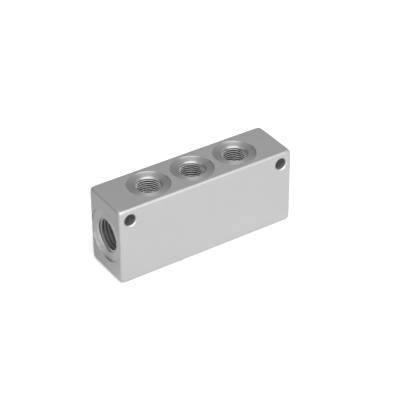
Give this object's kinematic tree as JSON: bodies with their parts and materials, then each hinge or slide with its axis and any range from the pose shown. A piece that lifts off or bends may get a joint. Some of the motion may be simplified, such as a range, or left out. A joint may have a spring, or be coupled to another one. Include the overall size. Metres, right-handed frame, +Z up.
{
  "type": "air manifold block",
  "caption": "Aluminium air distribution block: threaded inlets in its ends feed a row of threaded outlets in its top through one gallery; plain mounting holes cross its width.",
  "frame": {"origin": "centre of the bottom face", "axes": "+X along the block from one inlet to the other, +Y through its width from the front face to the back face, +Z up towards the outlets"},
  "size_m": [0.072, 0.02, 0.03],
  "materials": {
    "block_aluminium": "satin, bead blasted and clear anodised"
  },
  "bodies": {
    "root": {"manifold_block": "block_aluminium"}
  },
  "joints": []
}
